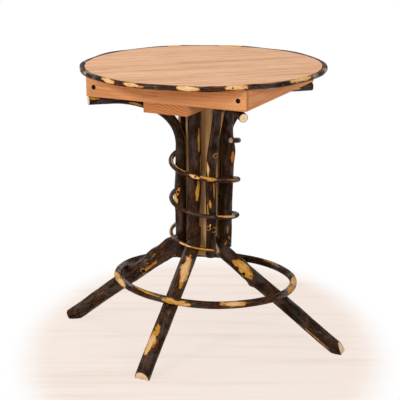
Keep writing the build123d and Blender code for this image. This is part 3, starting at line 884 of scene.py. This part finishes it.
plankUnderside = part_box("cross_plank")[0][2]
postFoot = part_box("post")[0][2]
poleLook = {
    "bark": barks["poleBark"],
    "slot": "pole_bark",
    "sides": 52,
    "lumps": 0.03,
    "drift": 0.0016,
}
facePoles = {
    "face_pole_front": {
        "azimuth": -90,
        "low": (-0.012, -0.0733),
        "high": (-0.002, -0.0733),
        "bow": (0.005, 0, 0),
        "girth": 0.0485,
        "leg": "leg_front",
        "seed": 21,
        "strokes": [
            (0.418, 72, 0.505, 74, 0.013, 0.6),
            (0.231, 52, 0.300, 62, 0.019, 0.45),
            (0.293, 20, 0.296, 20, 0.004, 0.6),
            (0.330, 85, 0.400, 88, 0.005, 0.9),
        ],
        "knots": [],
    },
    "face_pole_right": {
        "azimuth": 0,
        "low": (0.0805, 0.0233),
        "high": (0.085, 0.0243),
        "bow": (0.004, 0.001, 0),
        "girth": 0.0480,
        "leg": "leg_right",
        "seed": 22,
        "strokes": [
            (0.365, -20, 0.403, -16, 0.016, 1.0),
            (0.349, 20, 0.405, 20, 0.010, 0.9),
            (0.084, -45, 0.114, -45, 0.007, 1.0),
            (0.030, -70, 0.055, -55, 0.006, 0.9),
            (0.060, -25, 0.075, -35, 0.006, 0.7),
        ],
        "knots": [(0.051, -10, 0.009, 0.002), (0.036, -75, 0.006, 0.001)],
        "swellings": [
            (0.415, 20, 0.035, 0.0065),
            (0.380, 30, 0.030, 0.0040),
            (0.520, -100, 0.050, 0.0030),
        ],
    },
    "face_pole_back": {
        "azimuth": 90,
        "low": (-0.008, 0.0733),
        "high": (0.004, 0.0733),
        "bow": (-0.003, 0, 0),
        "girth": 0.046,
        "leg": "leg_back",
        "seed": 23,
        "strokes": scattered(23, 7, (0.06, 0.5), (-80, 80)),
        "knots": [(0.33, 20, 0.010, 0.002)],
    },
    "face_pole_left": {
        "azimuth": 180,
        "low": (-0.0738, -0.012),
        "high": (-0.0738, -0.014),
        "bow": (0, 0.003, 0),
        "girth": 0.047,
        "leg": "leg_left",
        "seed": 24,
        "strokes": scattered(24, 6, (0.06, 0.5), (-80, 80)),
        "knots": [(0.22, -30, 0.010, 0.002)],
    },
}

for name, pole in facePoles.items():
    leg = legs[pole["leg"]]
    up = legDirections(leg)[2]
    ridge = Vector(leg["top"]) + up * (leg["girths"][0] / 2 + 0.0005)
    low = Vector((*pole["low"], postFoot))
    high = Vector((*pole["high"], plankUnderside))
    line = bowedLine(low, high + (high - low).normalized() * 0.03, pole["bow"])
    cuts = [(ridge, -up, 0.4, 1), (high, Vector((0, 0, 1)), 0.1, 1)]
    girths = (pole["girth"], pole["girth"])
    barkPole(name, line, girths, polar(pole["azimuth"], 1), {**poleLook, **pole}, cuts)
print("face poles")


armLook = {"bark": barks["poleBark"], "slot": "pole_bark", "sides": 48, "lumps": 0.03}
armSpare = 0.01  # beyond both ends before they are cut
arms = {
    "corner_arm_left": {
        "azimuth": -135,
        "girths": (0.042, 0.041, 0.038, 0.036, 0.033),
        "corners": [(0.0905, 0.328), (0.0905, 0.856), (0.254, 0.9582), (0.440, 0.9582)],
        "bends": (0.165, 0.350),
        "seed": 31,
        "strokes": [
            (0.385, 68, 0.520, 35, 0.0045, 0.6),
            (0.248, -50, 0.276, -30, 0.012, 0.95),
            (0.206, -60, 0.248, -76, 0.022, 0.0),
            (0.080, -105, 0.120, -105, 0.011, 0.3),
            (0.850, 30, 0.885, 40, 0.016, 0.6),
            (0.680, -34, 0.735, -24, 0.013, 0.6),
        ],
        "knots": [(0.262, -40, 0.006, 0.001)],
        "swellings": [(0.278, -45, 0.030, 0.0040), (0.228, -95, 0.03, 0.006)],
    },
    "corner_arm_front": {
        "azimuth": -45,
        "girths": (0.038, 0.0375, 0.036, 0.034, 0.032),
        "corners": [
            (0.0885, 0.344),
            (0.0885, 0.725),
            (0.185, 0.959),
            (0.282, 0.967),
            (0.424, 0.9485),
        ],
        "bends": (0.300, 0.080, 0.300),
        "seed": 32,
        "strokes": [
            (0.490, -28, 0.610, -72, 0.010, 0.7),
            (0.325, -142, 0.373, -168, 0.018, 0.2),
            (0.298, -136, 0.322, -142, 0.006, 0.4),
            (0.230, -70, 0.294, -75, 0.006, 0.9),
            (0.198, -116, 0.228, -120, 0.011, 0.6),
            (0.154, -145, 0.209, -153, 0.006, 0.5),
            (0.127, -120, 0.133, -120, 0.007, 0.3),
        ],
        "knots": [
            (0.407, -70, 0.009, 0.001),
            (0.111, -76, 0.0095, 0.0015),
            (0.117, -145, 0.008, 0.001),
        ],
        "swellings": [
            (0.400, -20, 0.050, 0.003),
            (0.250, -60, 0.060, 0.002),
            (0.590, -50, 0.060, 0.004),
        ],
    },
    "corner_arm_right": {
        "azimuth": 45,
        "girths": (0.039, 0.039, 0.037, 0.035, 0.033),
        "corners": [(0.089, 0.332), (0.089, 0.856), (0.2525, 0.9582), (0.440, 0.9582)],
        "bends": (0.165, 0.350),
        "seed": 33,
        "strokes": [
            (0.770, -170, 0.830, -165, 0.014, 0.4),
            (0.690, -150, 0.740, -160, 0.008, 0.8),
            *scattered(33, 5, (0.1, 0.6), (-120, 60)),
        ],
        "knots": [(0.30, 60, 0.010, 0.002)],
    },
    "corner_arm_back": {
        "azimuth": 135,
        "girths": (0.042, 0.041, 0.038, 0.036, 0.033),
        "corners": [(0.0905, 0.330), (0.0905, 0.856), (0.254, 0.9582), (0.440, 0.9582)],
        "bends": (0.165, 0.350),
        "seed": 34,
        "strokes": scattered(34, 9, (0.05, 0.8), (-180, 180)),
        "knots": [(0.25, -60, 0.011, 0.002), (0.6, 100, 0.009, 0.002)],
    },
}

for name, arm in arms.items():
    line = bentLine(arm["corners"], arm["bends"], arm["azimuth"])
    butt, tip = line[0], line[-1]
    tipWay = (line[-1] - line[-2]).normalized()
    lengthened = [butt - Vector((0, 0, armSpare)), *line, tip + tipWay * armSpare]
    cuts = [(butt, Vector((0, 0, -1)), 0.06, 1), (tip, tipWay, 0.06, 1)]
    crown = polar(arm["azimuth"] + 90, 1)
    barkPole(name, lengthened, arm["girths"], crown, {**armLook, **arm}, cuts, -armSpare)
print("corner arms")


saplingLook = {"bark": barks["saplingBark"], "slot": "sapling_bark", "crownIsCenter": True}
winding = {
    "center": (0.004, 0.002),
    "radius": 0.1275,
    "turns": 2.92,
    "high": 0.796,
    "highAzimuth": -15,
    "pitch": 0.160,  # at the upper end
    "easing": 0.006,  # of the pitch, for each turn down
    "girths": (0.0205, 0.0130),
    **saplingLook,
    "seed": 41,
    "sides": 28,
    "lumps": 0.05,
    "step": 0.0028,
    "strokes": [
        (0.480, -120, 0.636, -78, 0.009, 0.25),
        (0.657, -30, 0.690, 0, 0.016, 0.1),
        (0.697, -50, 0.753, -20, 0.013, 0.45),
        (0.722, 22, 0.746, 12, 0.007, 0.6),
        (0.800, -30, 0.870, -30, 0.007, 1.0),
        (1.240, -45, 1.395, 40, 0.012, 0.6),
        (1.575, -70, 1.655, -20, 0.014, 0.25),
        (2.060, -110, 2.200, 0, 0.010, 0.55),
        (2.238, -12, 2.284, 0, 0.014, 0.1),
        (2.282, 0, 2.370, -30, 0.011, 0.5),
        *scattered(41, 10, (0.0, 2.3), (60, 200), (0.004, 0.009)),
    ],
    "knots": [(0.678, -14, 0.004, 0.001), (2.262, -5, 0.003, 0.001)],
}


def windingPoint(turns):
    azimuth = winding["highAzimuth"] + 360 * turns
    height = winding["high"] - winding["pitch"] * turns + winding["easing"] * turns**2
    return polar(azimuth, winding["radius"], height) + Vector((*winding["center"], 0))


spare = 0.008  # turns beyond both ends before they are cut
windingLine = [windingPoint(t) for t in np.linspace(-spare, winding["turns"] + spare, 600)]
cuts = []
for turns, way in ((0, -1), (winding["turns"], 1)):
    away = windingPoint(turns + 0.004 * way) - windingPoint(turns - 0.004 * way)
    cuts.append((windingPoint(turns), away, 0.03, 1))
axis = (*winding["center"], 0)
barkPole("spiral_sapling", windingLine, winding["girths"], axis, winding, cuts)
print("spiral")


hoop = {
    "center": (0.005, 0.0055),
    "halfLength": 0.337,
    "halfBreadth": 0.307,
    "turn": 26,  # of the long axis from +X
    "height": 0.229,
    "fall": (0.043, 0.035),  # for each metre along X and Y
    # where the bent sapling strays from a fair curve: azimuth, outwards, spread in degrees
    "strays": ((42, 0.010, 22), (68, 0.010, 18), (-125, -0.008, 22), (-148, 0.004, 14)),
    "girth": 0.0285,
    "lapAzimuth": -12,
    "wrapRadius": 0.32,
    **saplingLook,
    "seed": 51,
    "sides": 40,
    "lumps": 0.03,
    "step": 0.0035,
    # strokes and knots by azimuth instead of length
    "strokes": [
        (3, -30, 14, -45, 0.034, 0.4),
        (14, -50, 31, -55, 0.044, 0.25),
        (56, -100, 70, -105, 0.012, 0.6),
        (199, -28, 212, -15, 0.019, 0.6),
        (208, -35, 222, -40, 0.038, 0.35),
        (219, -40, 231, -10, 0.036, 0.15),
        (240, -92, 264, -42, 0.013, 0.6),
        (268, -12, 277, -5, 0.032, 0.4),
        (274, 0, 285, 5, 0.034, 0.35),
        (307, -48, 323, -28, 0.028, 0.3),
        (316, -10, 321, -15, 0.012, 0.5),
        (96, -20, 104, 30, 0.012, 0.5),
        (128, 10, 141, -20, 0.014, 0.3),
        (160, -60, 168, -20, 0.010, 0.7),
    ],
    "knots": [(16, -5, 0.006, 0.001), (9, -20, 0.004, 0.0), (216, -15, 0.006, 0.001)],
}


def byAzimuth(strokes, wrapRadius):
    turnings = []
    for fromTurn, fromAngle, toTurn, *rest in strokes:
        turnings.append(
            (radians(fromTurn) * wrapRadius, fromAngle, radians(toTurn) * wrapRadius, *rest)
        )
    return turnings


def hoopPoint(azimuth):
    swing = radians(azimuth - hoop["turn"])
    long, broad = cos(swing) / hoop["halfLength"], sin(swing) / hoop["halfBreadth"]
    reach = 1 / sqrt(long**2 + broad**2)
    for center, outwards, spread in hoop["strays"]:
        off = (azimuth - center + 180) % 360 - 180
        reach += outwards * exp(-((off / spread) ** 2))
    level = polar(azimuth, reach)
    fall = hoop["fall"][0] * level.x + hoop["fall"][1] * level.y
    return level + Vector((*hoop["center"], hoop["height"] - fall))


lap = hoop["lapAzimuth"]
piece = {
    **hoop,
    "strokes": byAzimuth(hoop["strokes"], hoop["wrapRadius"]),
    "knots": [(radians(turn) * hoop["wrapRadius"], *rest) for turn, *rest in hoop["knots"]],
}
barkPole(
    "foot_hoop",
    [hoopPoint(turn) for turn in np.linspace(lap, lap + 360, 720)],
    (hoop["girth"], hoop["girth"]),
    (*hoop["center"], 0),
    piece,
    alongStart=radians(lap) * hoop["wrapRadius"],
)
print("hoop")


edgingLook = {"bark": barks["edgingBark"], "slot": "edging_bark", "crownIsCenter": True}
edging = {
    "radius": 0.44775,
    "height": 1.05925,
    "girth": 0.0185,
    "joints": (8, 98, 188, 278),
    "drift": 0.0012,
    "swayLength": 0.2,
    # thicker places by azimuth: angle, spread, raised by
    "swellings": [
        (206, -20, 0.045, 0.0026),
        (221, -20, 0.030, 0.0012),
        (26, -20, 0.045, 0.0018),
        (299, -20, 0.020, 0.0015),
        (250, -20, 0.020, 0.0015),
        (318, -20, 0.020, 0.0012),
    ],
    "scarf": 40,  # the slant of the laps
    "spare": 3,  # degrees beyond each joint before it is cut
    **edgingLook,
    "seed": 61,
    "sides": 28,
    "lumps": 0.035,
    "step": 0.003,
    # strokes and knots by the length round the rim from +X
    "strokes": [
        (1.640, -25, 1.665, -10, 0.008, 0.4),
        (1.680, -30, 1.700, 10, 0.010, 0.3),
        (1.715, 20, 1.745, 0, 0.008, 0.4),
        (1.765, -40, 1.790, -20, 0.007, 0.5),
        (1.915, -40, 1.977, -5, 0.019, 0.22),
        (1.940, 30, 1.955, 30, 0.006, 0.6),
        (2.028, -28, 2.080, -8, 0.023, 0.15),
        (2.085, 5, 2.106, 0, 0.008, 0.5),
        (2.230, -25, 2.290, -10, 0.031, 0.05),
        (2.394, -20, 2.456, -5, 0.028, 0.12),
        (2.641, -38, 2.743, -30, 0.023, 0.22),
        (2.700, 10, 2.735, 0, 0.007, 0.5),
        (2.765, -30, 2.790, -40, 0.008, 0.4),
        (0.010, -50, 0.060, -40, 0.008, 0.4),
        (0.085, -45, 0.120, -50, 0.009, 0.4),
        (0.030, 10, 0.050, 20, 0.006, 0.5),
        (1.008, -105, 1.048, -105, 0.030, 0.4),
        (0.758, -105, 0.840, -105, 0.030, 0.5),
        *scattered(61, 9, (0.15, 1.6), (-60, 60), (0.006, 0.013)),
    ],
    "knots": [
        (2.411, -12, 0.004, 0.001),
        (2.150, 0, 0.004, 0.0008),
        (2.600, -10, 0.004, 0.0008),
    ],
}


def edgingPoint(azimuth):
    return polar(azimuth, edging["radius"], edging["height"])


piece = {
    **edging,
    "wrapRadius": edging["radius"],
    "swellings": [(radians(turn) * edging["radius"], *rest) for turn, *rest in edging["swellings"]],
}
for number, first in enumerate(edging["joints"]):
    last = edging["joints"][(number + 1) % len(edging["joints"])]
    last += 360 if last <= first else 0
    start = first - edging["spare"]
    turns = np.linspace(start, last + edging["spare"], int((last - first) * 3))
    cuts = []
    for joint, way in ((first, -1), (last, 1)):
        facing = joint + edging["scarf"]
        cuts.append((edgingPoint(joint), polar(facing + 90, way), 0.04, 1))
    barkPole(
        f"edge_sapling_{number + 1}",
        [edgingPoint(turn) for turn in turns],
        (edging["girth"], edging["girth"]),
        (0, 0, 0),
        piece,
        cuts,
        radians(start) * edging["radius"],
    )
print("edging")


floorLook = {
    "size": 9.0,
    "colour": (0.935, 0.825, 0.755, 1),
    "streak": (0.820, 0.685, 0.605, 1),
    "grainAzimuth": 26,  # the boards run across the view
    # the boards fade to white towards the edge of an oval
    "halfWidth": 0.75,
    "halfDepth": 1.12,
    "middle": -0.10,  # of the oval, along its depth
    "fadeFrom": 0.76,
    "glow": 0.88,  # share of the floor that the shadows leave bright
}


def seenDirectly(tree):
    # 1 for the rays that show the backdrop: straight, mirrored or through glass
    paths = addNode(tree, "ShaderNodeLightPath").outputs
    mirrored = math(tree, "MAXIMUM", paths["Is Glossy Ray"], paths["Is Transmission Ray"])
    return math(tree, "MAXIMUM", paths["Is Camera Ray"], mirrored)


def mixShaders(tree, factor, first, second):
    inputs = {0: factor, 1: first, 2: second}
    return addNode(tree, "ShaderNodeMixShader", inputs).outputs[0]


def buildFloor():
    mesh = bpy.data.meshes.new("paleFloor")
    half = floorLook["size"] / 2
    corners = [(-half, -half, 0), (half, -half, 0), (half, half, 0), (-half, half, 0)]
    mesh.from_pydata(corners, [], [(0, 1, 2, 3)])
    floor = bpy.data.objects.new("paleFloor", mesh)
    scene.collection.objects.link(floor)
    floor.location.z = -0.0005
    material = bpy.data.materials.new("paleFloor")
    material.use_nodes = True
    tree = material.node_tree
    tree.nodes.clear()
    turn = (0, 0, -radians(floorLook["grainAzimuth"]))
    place = {"Vector": addNode(tree, "ShaderNodeTexCoord").outputs["Object"], "Rotation": turn}
    turned = addNode(tree, "ShaderNodeMapping", place).outputs[0]
    grain = cloud(tree, vectorMath(tree, "MULTIPLY", turned, (0.9, 14, 1)), 1.0, 4, 0.6)
    fine = cloud(tree, vectorMath(tree, "MULTIPLY", turned, (3, 70, 1)), 1.0, 3, 0.6)
    marks = ramp(tree, grain, 0.45, 0.75, 0, 0.6)
    marks = math(tree, "MULTIPLY_ADD", ramp(tree, fine, 0.5, 0.75), 0.25, marks)
    colour = blend(tree, marks, floorLook["colour"], floorLook["streak"])
    oval = {
        "Vector": turned,
        "Location": (0, -floorLook["middle"] / floorLook["halfDepth"], 0),
        "Scale": (1 / floorLook["halfWidth"], 1 / floorLook["halfDepth"], 1),
    }
    reach = vectorMath(tree, "LENGTH", addNode(tree, "ShaderNodeMapping", oval).outputs[0])
    fade = ramp(tree, reach, floorLook["fadeFrom"], 1.0)
    seen = seenDirectly(tree)
    lit = addNode(tree, "ShaderNodeBsdfDiffuse", {"Color": colour}).outputs[0]
    glow = addNode(tree, "ShaderNodeEmission", {"Color": colour, "Strength": 1.0}).outputs[0]
    white = addNode(tree, "ShaderNodeEmission", {"Color": (1, 1, 1, 1)}).outputs[0]
    clear = addNode(tree, "ShaderNodeBsdfTransparent").outputs[0]
    below = addNode(tree, "ShaderNodeNewGeometry").outputs["Backfacing"]
    boards = mixShaders(tree, product(tree, seen, floorLook["glow"]), lit, glow)
    faded = mixShaders(tree, product(tree, fade, seen), boards, white)
    surface = {"Surface": mixShaders(tree, below, faded, clear)}  # seen from above only
    addNode(tree, "ShaderNodeOutputMaterial", surface)
    mesh.materials.append(material)


def buildWorld():
    world = bpy.data.worlds.new("paleStudio")
    scene.world = world
    world.use_nodes = True
    tree = world.node_tree
    tree.nodes.clear()
    room = {"Color": (1.0, 0.94, 0.87, 1), "Strength": 0.30}
    room = addNode(tree, "ShaderNodeBackground", room).outputs[0]
    backdrop = {"Color": (1, 1, 1, 1), "Strength": 1.0}
    backdrop = addNode(tree, "ShaderNodeBackground", backdrop).outputs[0]
    surface = {"Surface": mixShaders(tree, seenDirectly(tree), room, backdrop)}
    addNode(tree, "ShaderNodeOutputWorld", surface)


lamps = {
    "windowLamp": {"at": (-1.5, -4.2, 3.1), "size": 1.1, "power": 116, "colour": (0.95, 0.97, 1.0)},
    "roomLamp": {"at": (4.0, -2.7, 2.7), "size": 1.1, "power": 84, "colour": (0.98, 0.98, 1.0)},
    "ceilingLamp": {"at": (-0.3, 0.3, 4.2), "size": 2.0, "power": 50, "colour": (1.0, 0.99, 0.97)},
    "skyLamp": {"at": (-3.3, 1.2, 3.5), "size": 1.4, "power": 40, "colour": (0.82, 0.89, 1.0)},
}
aim = Vector((0, 0, 0.6))


def addLamp(name, at, size, power, colour):
    light = bpy.data.lights.new(name, "AREA")
    light.size, light.energy, light.color = size, power, colour
    lamp = bpy.data.objects.new(name, light)
    lamp.location = at
    lamp.rotation_euler = (aim - Vector(at)).to_track_quat("-Z", "Y").to_euler()
    scene.collection.objects.link(lamp)


viewpoint = {
    "at": (2.016, -4.1436, 1.857),
    "azimuth": 116.1,  # the way it looks, from +X
    "pitch": 15.91,  # below level
    "lens": 112.95,
}


def buildCamera():
    camera = bpy.data.cameras.new("viewpoint")
    camera.lens = viewpoint["lens"]
    camera.sensor_width = 36
    holder = bpy.data.objects.new("viewpoint", camera)
    holder.location = viewpoint["at"]
    pitch = radians(viewpoint["pitch"])
    look = polar(viewpoint["azimuth"], cos(pitch), -sin(pitch))
    holder.rotation_euler = look.to_track_quat("-Z", "Y").to_euler()
    scene.collection.objects.link(holder)
    scene.camera = holder


buildFloor()
buildWorld()
for name, lamp in lamps.items():
    addLamp(name, **lamp)
buildCamera()
scene.view_settings.view_transform = "Standard"
print("floor, light and camera")
